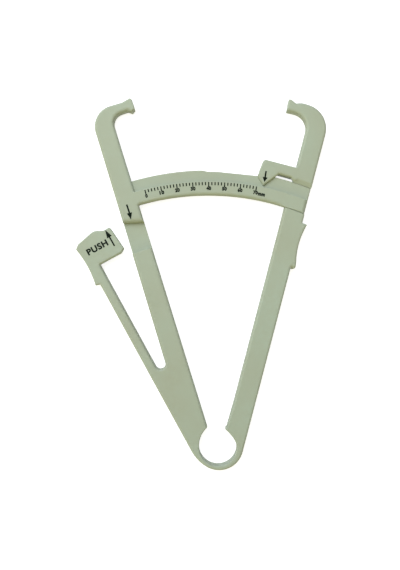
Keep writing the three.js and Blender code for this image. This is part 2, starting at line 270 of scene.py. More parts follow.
def roundedPlate(name, rows, back, front, backRound, frontRound):
    # Rings of the outline are stacked from back to front. In a quarter round at angle a from the flat face
    # the inset is radius (1 - sin a) and the height from the face is radius (1 - cos a). Two caps close it.
    # Where the share asks for much more than the plate's height, the round turns into a straight ramp.
    rows = np.asarray(rows, float)
    angles = np.linspace(0, math.pi / 2, detail["quarterRound"] + 1)
    insets = [backRound + shared["lip"], *(backRound * (1 - np.sin(angles))),
              *(frontRound * (1 - np.sin(angles[::-1]))), frontRound + shared["lip"]]
    rises = [0, *(backRound * (1 - np.cos(angles))), *(frontRound * (1 - np.cos(angles[::-1]))), 0]
    slopes = [*(frontRound * np.sin(angles[::-1])), 0]
    rings = [insetRing(rows, inset) for inset in insets]
    half = len(rings) // 2
    limit = (front - back - backRound) * shared["fullRise"] / frontRound
    heights = [back + share * rise for (points, share), rise in zip(rings[:half], rises[:half])]
    for (points, share), rise, slope in zip(rings[half:], rises[half:], slopes):
        ramp = np.clip((share / limit - shared["rampFrom"]) / shared["rampBlend"], 0, 1)
        heights.append(front - np.minimum(share, limit) * (rise * (1 - ramp) + slope * ramp))
    levels = [np.column_stack([points, height]) for (points, share), height in zip(rings, heights)]
    count = len(levels[0])
    # weight of the painted highlight on the rounded edges, highest midway round each quarter round; it also
    # polishes them
    edgeSheen = np.repeat([0, *np.sin(angles * 2), *np.sin(angles[::-1] * 2), 0], count)
    return meshFrom(name, np.concatenate(levels), *shellFaces(len(levels), count), edgeSheen)


def backLayer(name, rows, top):
    return roundedPlate(name, rows, 0, top, shared["edgeRound"], shared["partingGroove"])


def frontLayer(name, rows, low):
    return roundedPlate(name, rows, low, faceTop, shared["partingGroove"], shared["edgeRound"])


def band(name, inner, outer, back, front, innerRound, outerRound):
    # A rounded oblong section is carried along two paths: each of its points lies near the inner or the
    # outer path, set in along the line between them, at a height of its own.
    angles = np.linspace(0, math.pi / 2, detail["quarterRound"] + 1)
    inset = 1 - np.sin(angles)
    rise = 1 - np.cos(angles)
    half = [inset[0], *inset, *inset[::-1], inset[0]]
    lips = [shared["lip"] / 2, *np.zeros(len(half) - 2), shared["lip"] / 2]
    insets = np.array(half * 2) * np.repeat([outerRound, innerRound], len(half)) + np.array(lips * 2)
    fromFace = np.array([0, *rise, *rise[::-1], 0])
    isFront = np.repeat([False, True], len(half) // 2)
    outerHeights = np.where(isFront, front - outerRound * fromFace, back + outerRound * fromFace)
    innerHeights = np.where(isFront[::-1], front - innerRound * fromFace, back + innerRound * fromFace)
    heights = np.concatenate([outerHeights, innerHeights])
    onOuter = np.repeat([True, False], len(half))
    width = np.linalg.norm(outer - inner, axis=1)[:, None]
    place = np.where(onOuter, 1 - insets / width, insets / width)
    across = inner[:, None, :] + (outer - inner)[:, None, :] * place[..., None]
    sections = np.concatenate([across, np.broadcast_to(heights[None, :, None], (*place.shape, 1))], axis=2)
    walls, caps = shellFaces(*place.shape)
    arc = np.sin(angles * 2)
    # weight of the painted highlight on the rounded edges, highest midway round each quarter round; it also
    # polishes them
    edgeSheen = np.tile([0, *arc, *arc[::-1], 0] * 2, len(place))
    return meshFrom(name, sections.reshape(-1, 3), walls[:, [0, 3, 2, 1]], caps[:, ::-1], edgeSheen)


# Materials
colours = {                  # sRGB, as they are to look
    "plastic": (172, 181, 157),
    "plasticPale": (174, 188, 166),
    "plasticDeep": (169, 174, 148),
    # painted highlight: a paler colour laid on the middle of the rounded edges
    "edgeSheen": (182, 189, 170),
    "ink": (8, 20, 10),
    "inkWorn": (28, 40, 28),
    "floor": (205, 205, 203),
}


def linear(name):
    # sRGB to linear light: ((c + 0.055) / 1.055) to the power 2.4
    c = np.array(colours[name]) / 255
    return (*(((c + 0.055) / 1.055) ** 2.4), 1.0)


def newMaterial(name):
    material = bpy.data.materials.new(name)
    material.use_nodes = True
    return material, material.node_tree, material.node_tree.nodes["Principled BSDF"]


def feed(tree, node, sockets):
    # each socket takes a link or a constant
    for key, value in sockets.items():
        if isinstance(value, bpy.types.NodeSocket):
            tree.links.new(value, node.inputs[key])
        else:
            node.inputs[key].default_value = value


def addNode(tree, kind, sockets=None, **settings):
    made = tree.nodes.new(kind)
    for key, value in settings.items():
        setattr(made, key, value)
    feed(tree, made, sockets or {})
    return made


def colourMix(tree, share, first, second):
    # sockets 6, 7 and output 2 are the mix node's colour ones
    made = addNode(tree, "ShaderNodeMix", {0: share, 6: first, 7: second}, data_type="RGBA")
    return made.outputs[2]


def ranged(tree, value, low, high, toLow, toHigh):
    made = addNode(tree, "ShaderNodeMapRange", {"Value": value, "From Min": low, "From Max": high,
                                                "To Min": toLow, "To Max": toHigh})
    return made.outputs["Result"]


def computed(tree, operation, first, second):
    return addNode(tree, "ShaderNodeMath", {0: first, 1: second}, operation=operation).outputs[0]


def noise(tree, spots, scale, layers):
    sockets = {"Vector": spots, "Scale": scale, "Detail": layers}
    return addNode(tree, "ShaderNodeTexNoise", sockets).outputs["Fac"]


def bump(tree, height, strength, distance, **under):
    sockets = {"Height": height, "Strength": strength, "Distance": distance, **under}
    return addNode(tree, "ShaderNodeBump", sockets).outputs["Normal"]


plasticLook = {
    "clouds": (42, 3),                       # scale and layers of a noise
    "flecks": (420, 4),
    "grain": (5200, 2),
    "cloudShare": (0.3, 0.7, 0, 1),          # from low and high, to low and high
    "evenShare": (0.35, 0.65, 0.35, 0.75),
    # share of the painted edge highlight, patchy along the edges
    "paleShare": (0.4, 0.75, 0.05, 0.3),
    "roughness": (0.3, 0.7, 0.5, 0.62),
    "wornPolish": (0, 1, 0, 0.06),
    "ripple": (0.12, 0.00005),               # strength and metres
    "grainBump": (0.25, 0.00002),
    "sockets": {"IOR": 1.49, "Specular IOR Level": 0.25, "Subsurface Weight": 0.2,
                "Subsurface Radius": (1.0, 0.95, 0.9), "Subsurface Scale": 0.001},
}
inkLook = {
    "patches": (1500, 5),
    "paleShare": (0.5, 0.75, 0, 1),
    "roughness": (0.3, 0.7, 0.5, 0.7),
    "patchBump": (0.1, 0.00001),
    "sockets": {"Specular IOR Level": 0.06},
}


def plasticMaterial():
    material, tree, shader = newMaterial("caliperPlastic")
    spots = addNode(tree, "ShaderNodeTexCoord").outputs["Object"]
    clouds = noise(tree, spots, *plasticLook["clouds"])
    flecks = noise(tree, spots, *plasticLook["flecks"])
    grain = noise(tree, spots, *plasticLook["grain"])
    edge = addNode(tree, "ShaderNodeAttribute", attribute_name="edge").outputs["Fac"]
    cloudShare = ranged(tree, clouds, *plasticLook["cloudShare"])
    tone = colourMix(tree, cloudShare, linear("plasticDeep"), linear("plasticPale"))
    tone = colourMix(tree, ranged(tree, flecks, *plasticLook["evenShare"]), tone, linear("plastic"))
    # painted highlight: the paler colour goes on the middle of the rounded edges, in patches
    paleShare = computed(tree, "MULTIPLY", edge, ranged(tree, flecks, *plasticLook["paleShare"]))
    roughness = ranged(tree, flecks, *plasticLook["roughness"])
    polish = ranged(tree, edge, *plasticLook["wornPolish"])
    ripple = bump(tree, flecks, *plasticLook["ripple"])
    feed(tree, shader, plasticLook["sockets"])
    feed(tree, shader, {"Base Color": colourMix(tree, paleShare, tone, linear("edgeSheen")),
                        "Roughness": computed(tree, "SUBTRACT", roughness, polish),
                        "Normal": bump(tree, grain, *plasticLook["grainBump"], Normal=ripple)})
    return material


def inkMaterial():
    material, tree, shader = newMaterial("printInk")
    spots = addNode(tree, "ShaderNodeTexCoord").outputs["Object"]
    patches = noise(tree, spots, *inkLook["patches"])
    paleShare = ranged(tree, patches, *inkLook["paleShare"])
    feed(tree, shader, inkLook["sockets"])
    feed(tree, shader, {"Base Color": colourMix(tree, paleShare, linear("ink"), linear("inkWorn")),
                        "Roughness": ranged(tree, patches, *inkLook["roughness"]),
                        "Normal": bump(tree, patches, *inkLook["patchBump"])})
    return material


caliperPlastic = plasticMaterial()
printInk = inkMaterial()
print("materials made")


def finishPiece(piece, body, *nodes):
    piece.data.materials.append(caliperPlastic)
    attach(piece, body)
    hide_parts(*nodes)


# Where the hinge ring and the fork of the lever lie
ring = {
    "holeRadius": 8.95,
    "outerRadius": 11.5,
    "wall": 2.2,                 # at the foot
    "holeShift": 0.55,
    "centreAlong": 0.25,
    "blendRadius": 19.3,         # of the arc between the ring's outside and the lever's side
    "toLeverLine": 1.134,        # from the ring's outside to the lever's side, were both carried on
    "mouthLeftStep": 0.5,        # the mouth's corners lie this far above the hole
    "mouthRightStep": 0.7,
    "mouthLeftHeading": 44.0,    # degrees, where the hole's edge meets them
    "mouthRightHeading": -41.0,
    "mouthLeftShare": 0.6,
    "mouthRightShare": 0.5,
    "mouthCorner": 0.12,
    "beak": 0.85,
    "beakHeight": 1.07,
    "neckLean": 0.3,
    "neckFrom": 15.0,
    "rigidMargin": 0.3,          # the bending starts this far inside the ring's cuts
}
lever = {
    "tilt": 11.5,                # degrees from the left arm
    "width": 4.3,
    "rootHalf": 4.8,
    "forkBelow": 4.23,
    "forkRadius": 2.5,
    "paddleBottom": 50.4,
    "paddleTop": 63.8,
    "paddleWidth": 13.7,
    "paddleShare": 0.5,
    "beamCorner": 0.6,           # where the paddle leaves the beam
    "bottomShare": 0.95,
    "cutAcross": 2.1,
    "cutAlong": 1.3,
    "cutCorner": 0.8,
    "cutShare": 0.7,
    "shoulder": 1.1,
    "shoulderCorner": 0.9,
    "dipAcross": 11.45,
    "dipTop": 63.65,
    "dipRadius": 2.5,
    "crestAcross": 7.3,
    "crestTop": 65.85,
    "crestRadius": 5.0,
    "outerTop": 63.75,
    "outerCorner": 0.4,
    "backShares": (0.7, 0.6),    # of the back layer's top and its corner
    "gripBottom": 42.4,
    "gripReach": 2.1,
    "gripHollow": 1.0,
    "gripHeel": 0.4,
    "gripTip": 62.1,
    "gripShare": 0.6,
}
ringCentre = turned((rightOuter - ring["outerRadius"], ring["centreAlong"]), -limbs["rightTilt"])
holeDrop = ring["outerRadius"] - ring["wall"] - ring["holeRadius"]
holeCentre = ringCentre - np.array([ring["holeShift"], holeDrop])
outwardsAngle = limbs["leftTilt"] + lever["tilt"]
outwards = turned((1, 0), outwardsAngle)
blendShift = ring["blendRadius"] - ring["outerRadius"]
blendTurn = math.degrees(math.acos(1 - ring["toLeverLine"] / blendShift))
blendAngle = outwardsAngle + blendTurn + 180
blendCentre = ringCentre - turned((blendShift, 0), blendAngle)
leftCutOuter = blendCentre - outwards * ring["blendRadius"]
offset = leftCutOuter - holeCentre
cutLength = offset @ outwards + alongAt(ring["holeRadius"], crossOf(offset, outwards))
leftCutInner = leftCutOuter - outwards * cutLength
leftCutBearing = bearing(holeCentre, leftCutInner) % 360
holeFromRight = turned(holeCentre, limbs["rightTilt"])
rightCutAcross = holeFromRight[0] + alongAt(ring["holeRadius"], ring["centreAlong"] - holeFromRight[1])
rightCutOuter = turned((rightOuter, ring["centreAlong"]), -limbs["rightTilt"])
rightCutInner = turned((rightCutAcross, ring["centreAlong"]), -limbs["rightTilt"])
mouthLeftAlong = holeCentre[1] + ring["holeRadius"] + ring["mouthLeftStep"]
mouthRightAlong = holeCentre[1] + ring["holeRadius"] + ring["mouthRightStep"]

leverPivotLocal = turned(leverPivot, -limbs["leftTilt"])
leverHalf = lever["width"] / 2
forkLocal = turned((leverHalf + lever["forkRadius"], -lever["forkBelow"]), lever["tilt"]) + leverPivotLocal


def fromLever(rows):
    return turnedRows(rows, outwardsAngle, leverPivot)


def leftOuterAt(along):
    share = np.clip((along - forkLocal[1]) / (limbs["hookStart"] - forkLocal[1]), 0, 1)
    return limbs["leftInner"] - limbs["footWidth"] - (limbs["topWidth"] - limbs["footWidth"]) * share


# Jaw pads, each in its arm's frame
pad = {
    "left": [(8.6, 162.0, 1.2, 1.4), (10.2, 160.8, 0.35, 0.7), (12.0, 161.9, 0.5, 0.5),
             (12.0, 166.3, 0.3, 0.5), (11.3, 167.3, 0.3, 0.5), (7.6, 166.5, 1.5, 1)],
    "right": [(-2.4, 165.5, 0.8, 0.5), (-4.6, 166.6, 0.3, 0.5), (-5.8, 166.55, 0.12, 0.5),
              (-5.4, 161.0, 0.15, 1.4)],
}


# Left side: one back layer from jaw to ring, and two front layers with the recess between them
scale = {
    "innerRadius": 117.5,
    "edgeRadius": 123.9,
    "trackRadius": 129.4,
    "endInset": 0.4,         # the arc stops this far inside the right arm's outer edge
    "shift": 1.6,            # the arcs' centre lies this far to the left of the hinge
    "highRadius": 129.95,    # of the track's outer edge, right of its dip
    "dip": [(77.9, 129.95), (78.5, 129.05), (87.9, 128.72), (90.2, 128.74), (91.3, 129.35)],
    "dipClear": 1,           # degrees from the dip to the arc's next point
    "lowerShare": 1.5,
    "innerShare": 0.2,       # of the lower edge where it comes into the right arm
    "easeFrom": 13,          # the share changes between these steps, counted from the arc's end
    "easeTo": 10,
    "upperShare": 0.14,
    "endShare": 1.5,
    "endCorner": 0.5,
    "endClear": 2,           # steps of each edge that give way to the end's rounding
    "lowerFillet": 0.6,      # where the arc leaves the left arm
    "upperFillet": 0.3,
    "pointerGap": 0.12,
    "trackRounds": (0.25, 0.3),    # at its back and its front
}
arcCentre = np.array([-scale["shift"], 0])
leftArcCentre = turned(arcCentre, -limbs["leftTilt"])
rightArcCentre = turned(arcCentre, limbs["rightTilt"])
recess = {
    "slope": 0.255,          # of the upper step's line across the arm
    "middleAcross": -2.75,
    "middleAlong": 110.3,
    "bottom": 96.9,
    "upperShare": 2.2,
    "lowerShare": 0.12,
    "corner": 0.3,
}


def stepAt(across):
    return recess["middleAlong"] - (across - recess["middleAcross"]) * recess["slope"]


def angleAt(radius, across):
    return bearing((0, 0), (across, alongAt(radius, across)))


def arcEnd(radius):
    # angle at which the arc stops, seen from the left arm
    endAcross = rightOuter - scale["endInset"] - rightArcCentre[0]
    return angleAt(radius, endAcross) - limbs["leftTilt"] - limbs["rightTilt"]


def arcStart(radius, across):
    return angleAt(radius, across - leftArcCentre[0])


def leftHookRows():
    outer = leftOuterAt(limbs["hookStart"])
    return np.vstack([
        [[limbs["leftInner"], limbs["neckTop"] - limbs["neckHeight"], limbs["leftThroatRadius"],
          limbs["throatShare"]]],
        pad["left"],
        [[outer, limbs["neckTop"], limbs["leftHookRadius"], 1], [outer, limbs["hookStart"], 0, 1]],
    ])


def leftFootRows():
    # from the fork's round by the lever's root and the ring to the mouth's corner
    leverShare = shared["leverShare"]
    corner = turned((limbs["leftInner"], mouthLeftAlong), limbs["leftTilt"])
    fork = arcRows(forkLocal, lever["forkRadius"], 0, lever["tilt"] - 180, detail["fork"], (1, leverShare))
    fork[-1, 3] = shared["flush"]
    leverFoot = fromLever([[-leverHalf, -lever["forkBelow"], 0, leverShare]])
    side = easedRows(leverFoot[0, :2], leftCutOuter, (leverShare, shared["ringShare"]))
    side[-1, 3] = shared["flush"]
    hole = bentRows(leftCutInner, leftCutBearing - 90, corner, ring["mouthLeftHeading"],
                    (shared["holeShare"], ring["mouthLeftShare"]))
    hole[-1, 2:] = ring["mouthCorner"], 1
    return np.vstack([turnedRows(fork, limbs["leftTilt"]), side, hole])


def leftBack():
    arm = turnedRows(leftHookRows(), limbs["leftTilt"])
    return backLayer("left_back", np.vstack([arm, leftFootRows()]), partingHeight)


def leftFrontUpper():
    inner, edge, across = scale["innerRadius"], scale["edgeRadius"], limbs["leftInner"]
    stepLeft = leftOuterAt(stepAt(-limbs["topWidth"]))
    lower = arcRows(leftArcCentre, inner, arcStart(inner, across), arcEnd(inner), detail["arc"])
    upper = arcRows(leftArcCentre, edge, arcEnd(edge), arcStart(edge, across), detail["arc"],
                    scale["upperShare"])
    count = len(lower)
    lower[:, 3] = np.interp(np.arange(count), [count - scale["easeFrom"], count - scale["easeTo"], count],
                            [scale["lowerShare"], scale["innerShare"], 1])
    lower = np.delete(lower, slice(-1 - scale["endClear"], -1), axis=0)
    upper = np.delete(upper, slice(1, 1 + scale["endClear"]), axis=0)
    lower[0, 2] = scale["lowerFillet"]
    lower[-1, 2:] = scale["endCorner"], scale["endShare"]
    upper[0, 2] = scale["endCorner"]
    upper[-1, 2:] = scale["upperFillet"], 1
    rows = np.vstack([
        [[stepLeft, stepAt(stepLeft), recess["corner"], recess["upperShare"]]],
        [[across, stepAt(across), recess["corner"], 1]],
        lower, upper, leftHookRows(),
    ])
    return frontLayer("left_front_upper", turnedRows(rows, limbs["leftTilt"]), partingHeight)


def leftFrontLower():
    corners = [[limbs["leftInner"], recess["bottom"], recess["corner"], recess["lowerShare"]],
               [leftOuterAt(recess["bottom"]), recess["bottom"], recess["corner"], 1]]
    rows = np.vstack([turnedRows(corners, limbs["leftTilt"]), leftFootRows()])
    return frontLayer("left_front_lower", rows, partingHeight)


def pointerTrack():
    # its outer edge is an arc with a shallow straight dip, a little higher on the dip's right
    hidden, outer = scale["edgeRadius"] - shared["overlap"], scale["trackRadius"]
    across = limbs["leftInner"] - 2 * shared["overlap"]
    tilt = limbs["leftTilt"]
    dip = [[*(leftArcCentre + turned((radius, 0), angle - tilt)), 0, 1] for angle, radius in scale["dip"]]
    dipRight, dipLeft = scale["dip"][0][0] - tilt, scale["dip"][-1][0] - tilt
    rows = np.vstack([
        arcRows(leftArcCentre, hidden, arcStart(hidden, across), arcEnd(hidden), detail["arc"]),
        arcRows(leftArcCentre, scale["highRadius"], arcEnd(outer), dipRight, detail["pastDip"]),
        dip[1:],
        arcRows(leftArcCentre, outer, dipLeft + scale["dipClear"], arcStart(outer, across),
                detail["beforeDip"]),
    ])
    return roundedPlate("pointer_track_strip", turnedRows(rows, tilt), partingHeight + shared["sink"],
                        pointerBack - scale["pointerGap"], *scale["trackRounds"])


finishPiece(leftBack(), "left_side", "left_arm_web")
finishPiece(leftFrontUpper(), "left_side", "left_jaw_pad", "left_hook", "left_arm_upper", "scale_plate")
finishPiece(leftFrontLower(), "left_side", "left_arm_lower", "fork_root")
finishPiece(pointerTrack(), "left_side", "pointer_track")
print("left side made")

# Right side: one back layer, and front layers on both sides of the channel that the arc slides through
pointerSizes = {
    "channelRadius": 117.38,
    "webFillet": 0.6,
    "wallShare": 0.12,
    "wallCorner": 0.4,       # where a channel wall meets the arm's edges
    "barRadius": 131.2,
    "barTop": 136.2,
    "barReach": 10.2,
    "barSplay": 0.6,
    "barCorner": 1.4,
    "barFillet": 0.8,
    "barShare": 1.1,
    "root": 1.6,
    "clearRadius": 129.85,   # of the wall's middle layer, which clears the track
    "rampRadius": 129.4,     # of the foot of the ramp above the channel
    "rampShare": 1.95,
    "rampFrom": 4.3,
    "rampTo": 6.1,
    "tipRadius": 124.3,
    "tipLag": 3.4,           # degrees
    "shoulderDrop": 2.9,
    "shoulderShare": 0.9,
    "shoulderCorner": 0.3,
}
rest = {                     # the hollowed finger rest
    "bottom": 89.6,
    "top": 111.8,
    "height": 2.4,
    "hollow": 1.5,
    "share": 0.9,
    "corner": 1.5,
    "cornerSteps": 3,        # of the hollow, which give way to the corner
    "tip": 0.25,
    "tipCorner": 0.4,
    "rampShare": 2.4,
    "rampCorner": 0.3,
}
barLeft = (-pointerSizes["barReach"] - pointerSizes["barSplay"],
           alongAt(pointerSizes["barRadius"], pointerSizes["barReach"] + pointerSizes["barSplay"]))


def rightHookRows():
    top = limbs["neckTop"] - limbs["rightDrop"]
    throat = top - limbs["neckHeight"] + limbs["neckSlimming"]
    return np.vstack([
        [[rightOuter, top - limbs["heelDrop"], limbs["rightHookRadius"], 1]],
        [[limbs["crownAcross"], top + limbs["crownRise"], limbs["crownRadius"], 1]],
        pad["right"],
        [[rightUpperInner, throat, limbs["rightThroatRadius"], 1]],
    ])


def barRows():
    thin = shared["thinShare"]
    return np.array([
        [rightUpperInner, pointerSizes["barTop"], pointerSizes["barFillet"], thin],
        [-pointerSizes["barReach"], pointerSizes["barTop"], pointerSizes["barCorner"], thin],
        [*barLeft, 0, thin],
    ])


def channelRows(radius, start, end, share):
    return arcRows((0, 0), radius, angleAt(radius, start), angleAt(radius, end), detail["channel"], share)


def onArc(radius, across):
    return np.array([across, alongAt(radius, across)])


def restRows():
    out = rightOuter + rest["height"]
    hollow = hollowRows((out, rest["bottom"] + rest["corner"]), (out, rest["top"] - rest["tip"]),
                        rest["hollow"], rest["share"])
    return np.vstack([
        [[rightOuter, rest["bottom"], rest["rampCorner"], rest["rampShare"]]],
        [[out, rest["bottom"], rest["corner"], rest["share"]]],
        hollow[rest["cornerSteps"]:],
        [[rightOuter, rest["top"], rest["tipCorner"], 1]],
    ])


def rightFootRows():
    # from the mouth's corner round the hole to the ring's cut, and up the arm's outer edge
    corner = turned((limbs["rightInner"] - ring["beak"], mouthRightAlong), -limbs["rightTilt"])
    hole = bentRows(corner, ring["mouthRightHeading"], rightCutInner, bearing(holeCentre, rightCutInner) - 90,
                    (ring["mouthRightShare"], shared["holeShare"]))
    hole[0, 2] = ring["mouthCorner"]
    hole[-1, 3] = shared["flush"]
    neckTop = (limbs["rightInner"], mouthRightAlong + ring["neckFrom"])
    neckFoot = (limbs["rightInner"] - ring["neckLean"], mouthRightAlong + ring["beakHeight"])
    neck = easedRows(neckTop, neckFoot, (1, ring["mouthRightShare"]))
    armSide = turned((rightOuter, mouthRightAlong), -limbs["rightTilt"])
    side = easedRows(rightCutOuter, armSide, (shared["ringShare"], 1))
    return np.vstack([neck, turnedRows(np.vstack([hole, side]), limbs["rightTilt"])])


def rightBack():
    lower, upper = pointerSizes["channelRadius"], pointerSizes["barRadius"]
    rows = np.vstack([
        rightFootRows(), restRows(), rightHookRows(), barRows(),
        [[*onArc(upper, -pointerSizes["root"]), 0, shared["thinShare"]]],
        [[*onArc(upper, rightUpperInner), pointerSizes["webFillet"], 1]],
        [[*onArc(lower, limbs["rightInner"]), 0, 1]],
    ])
    return backLayer("right_back", turnedRows(rows, -limbs["rightTilt"]), webTop)


def upperWall(low, barShare, rampShare):
    # lower edge of bar and arm, from the pointer's root to the arm's outer edge
    radius, first, last = pointerSizes["barRadius"], pointerSizes["rampFrom"], pointerSizes["rampTo"]
    slope = easedRows(onArc(radius, first), onArc(low, last), (barShare, rampShare))
    wall = channelRows(low, last, rightOuter, rampShare)
    wall[-1, 2:] = pointerSizes["wallCorner"], 1
    return np.vstack([channelRows(radius, -pointerSizes["root"], first, barShare), slope[1:-1], wall])


def rightFrontMiddle():
    thin = shared["thinShare"]
    rows = np.vstack([rightHookRows(), barRows(), upperWall(pointerSizes["clearRadius"], thin, thin)])
    return roundedPlate("right_front_middle", turnedRows(rows, -limbs["rightTilt"]), webTop, pointerBack,
                        shared["partingGroove"], shared["hairline"])


def rightFrontUpper():
    # the pointer hangs over the track, and so does the foot of the ramp beside it
    tip = turned((0, pointerSizes["tipRadius"]), pointerSizes["tipLag"])
    slant = (barLeft[0] + pointerSizes["barReach"]) / (barLeft[1] - pointerSizes["barTop"])
    drop = pointerSizes["shoulderDrop"]
    pointerRows = [[barLeft[0] - slant * drop, barLeft[1] - drop, pointerSizes["shoulderCorner"],
                    pointerSizes["shoulderShare"]],
                   [*tip, 0, pointerSizes["barShare"]]]
    wall = upperWall(pointerSizes["rampRadius"], pointerSizes["barShare"], pointerSizes["rampShare"])
    rows = np.vstack([rightHookRows(), barRows(), pointerRows, wall])
    return roundedPlate("right_front_upper", turnedRows(rows, -limbs["rightTilt"]), pointerBack, faceTop,
                        shared["hairline"], shared["edgeRound"])


def rightFrontLower():
    # the wall below the channel follows the arc, whose centre isn't the hinge
    wall = channelRows(pointerSizes["channelRadius"], rightOuter - rightArcCentre[0],
                       limbs["rightInner"] - rightArcCentre[0], pointerSizes["wallShare"])
    wall[:, :2] += rightArcCentre
    wall[0, 2] = pointerSizes["wallCorner"]
    wall[-1, 2:] = pointerSizes["wallCorner"], 1
    rows = np.vstack([rightFootRows(), restRows(), wall])
    return frontLayer("right_front_lower", turnedRows(rows, -limbs["rightTilt"]), webTop)


finishPiece(rightBack(), "right_side", "right_arm_web")
finishPiece(rightFrontMiddle(), "right_side", "pointer_bar")
finishPiece(rightFrontUpper(), "right_side", "right_jaw_pad", "right_hook", "right_arm_upper", "pointer")
finishPiece(rightFrontLower(), "right_side", "right_arm_lower", "right_foot", "finger_rest")
print("right side made")


# Press lever: a back layer for beam and grip, and a front layer that also has the paddle
def gripRows():
    out = -leverHalf - lever["gripReach"]
    hollow = hollowRows((out, lever["gripTip"]), (out, lever["gripBottom"] + lever["gripHeel"]),
                        lever["gripHollow"], lever["gripShare"])
    foot = [[-leverHalf, lever["gripBottom"], lever["outerCorner"], shared["leverShare"]]]
    return np.vstack([hollow, foot])


def leverRootRows():
    return [[-leverHalf, lever["rootHalf"], 0, shared["flush"]],
            [leverHalf, lever["rootHalf"], 0, shared["leverShare"]]]


def leverBack():
    topShare, outerShare = lever["backShares"]
    rows = np.vstack([
        leverRootRows(),
        [[leverHalf, lever["paddleTop"], lever["beamCorner"], topShare]],
        [[-leverHalf, lever["outerTop"], lever["outerCorner"], outerShare]],
        gripRows(),
    ])
    return backLayer("lever_back", fromLever(rows), paddleBack)


def leverFront():
    right, bottom, share = leverHalf + lever["paddleWidth"], lever["paddleBottom"], lever["paddleShare"]
    rows = np.vstack([
        leverRootRows(),
        [[leverHalf, bottom, lever["beamCorner"], lever["bottomShare"]],
         [right - lever["cutAcross"], bottom, lever["cutCorner"], lever["cutShare"]],
         [right, bottom + lever["cutAlong"], lever["cutCorner"], share],
         [right - lever["shoulder"], lever["paddleTop"], lever["shoulderCorner"], share],
         [lever["dipAcross"], lever["dipTop"], lever["dipRadius"], share],
         [lever["crestAcross"], lever["crestTop"], lever["crestRadius"], share],
         [-leverHalf, lever["outerTop"], lever["outerCorner"], share]],
        gripRows(),
    ])
    return frontLayer("lever_front", fromLever(rows), paddleBack)


finishPiece(leverBack(), "press_lever", "lever_beam")
finishPiece(leverFront(), "press_lever", "press_paddle", "finger_grip")
print("lever made")


# The two bands where the caliper flexes in use: the ring at the foot and the root of the lever
def ringBand():
    # the outer path is two arcs, the inner path the hole; both ends run on into the arms
    share = np.linspace(0, 1, detail["ring"] + 1)
    blendLength = math.radians(blendTurn) * ring["blendRadius"]
    roundLength = math.radians(360 - limbs["rightTilt"] - blendAngle) * ring["outerRadius"]
    along = share * (blendLength + roundLength)
    onBlend = np.radians(blendAngle - blendTurn) + along / ring["blendRadius"]
    onRound = np.radians(blendAngle) + (along - blendLength) / ring["outerRadius"]
    first = (along < blendLength)[:, None]
    radius = np.where(first, ring["blendRadius"], ring["outerRadius"]) - shared["sink"]
    facing = np.where(first, unitAt(onBlend), unitAt(onRound))
    outer = np.where(first, blendCentre, ringCentre) + radius * facing
    holeTurn = 360 + bearing(holeCentre, rightCutInner) - leftCutBearing
    holeAngle = np.radians(leftCutBearing + share * holeTurn)
    inner = holeCentre + (ring["holeRadius"] + shared["sink"]) * unitAt(holeAngle)
    leftRun = turned((0, shared["overlap"]), outwardsAngle)
    rightRun = turned((0, shared["overlap"]), -limbs["rightTilt"])
    inner = np.vstack([inner[0] + leftRun, inner, inner[-1] + rightRun])
    outer = np.vstack([outer[0] + leftRun, outer, outer[-1] + rightRun])
    return band("hinge_ring_band", inner, outer, shared["sink"], faceTop - shared["sink"],
                shared["holeShare"] * shared["edgeRound"], shared["ringShare"] * shared["edgeRound"])


def leverRootBand():
    half, reach = leverHalf - shared["sink"], shared["overlap"]
    along = np.linspace(-lever["forkBelow"] - reach, lever["rootHalf"] + reach, detail["leverRoot"] + 1)
    left = fromLever(np.column_stack([np.full(len(along), -half), along]))
    right = fromLever(np.column_stack([np.full(len(along), half), along]))
    rounding = shared["leverShare"] * shared["edgeRound"]
    return band("lever_root_band", left, right, shared["sink"], faceTop - shared["sink"], rounding, rounding)


def finishBand(piece, node):
    piece.data.materials.append(caliperPlastic)
    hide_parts(node)
    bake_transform(piece)


finishBand(ringBand(), "hinge_ring")
finishBand(leverRootBand(),
           "lever_root")

# Print: the scale on the arc, the three arrows and the word on the paddle
prints = {
    "zeroAngle": -14.74,     # degrees from upright, seen from the hinge
    "pitch": 0.7007,         # degrees for one mark
    "perMark": 2,            # millimetres of jaw opening
    "marks": 36,
    "perNumber": 5,          # marks from one number to the next
    "markTop": 123.6,
    "markLength": 1.5,
    "longMark": 2.3,
    "markWidth": 0.54,
    "digitMiddle": 120.65,
    "digitHeight": 1.85,
    "digitWidth": 1.15,
    "bold": 0.072,
    "unitAngle": 11.17,
    "unitMiddle": 120.0,
    "unitHeight": 1.45,
    "unitWidth": 3.3,
    "wordMiddle": (5.1, 58.1),
    "wordHeight": 3.15,
    "wordWidth": 10.7,
    "wordBold": 0.045,
    "spread": 1.12,
    "sunk": 0.05,
}
arrows = {                   # tail, foot of the head and tip, then the shaft's and the head's width
    "arm": ([(-4.9, 119.8), (-4.82, 115.7), (-5.0, 112.5)], 0.78, 2.5),
    "pointer": ([(-7.83, 131.0), (-7.57, 128.1), (-7.34, 125.8)], 0.75, 2.4),
    "paddle": ([(12.58, 54.8), (12.5, 59.6), (12.3, 63.6)], 0.7, 2.5),
}


def joined(name, parts, body, top):
    # several flat prints become one piece
    vertices, faces, base = [], [], 0
    for part in parts:
        vertices.append(part[0])
        faces += [[index + base for index in face] for face in part[1]]
        base += len(part[0])
    spots = np.vstack(vertices) + np.array([*hinge, top - prints["sunk"]])
    mesh = bpy.data.meshes.new(name)
    mesh.from_pydata(spots * mm, [], faces)
    mesh.validate()
    mesh.materials.append(printInk)
    piece = inScene(name, mesh)
    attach(piece, body)


def prism(outline):
    # an outline, counter-clockwise, with straight walls
    count = len(outline)
    low = np.column_stack([outline, np.zeros(count)])
    high = np.column_stack([outline, np.full(count, prints["sunk"])])
    walls, caps = shellFaces(2, count)
    return np.vstack([low, high]), [*caps.tolist(), *walls.tolist()]


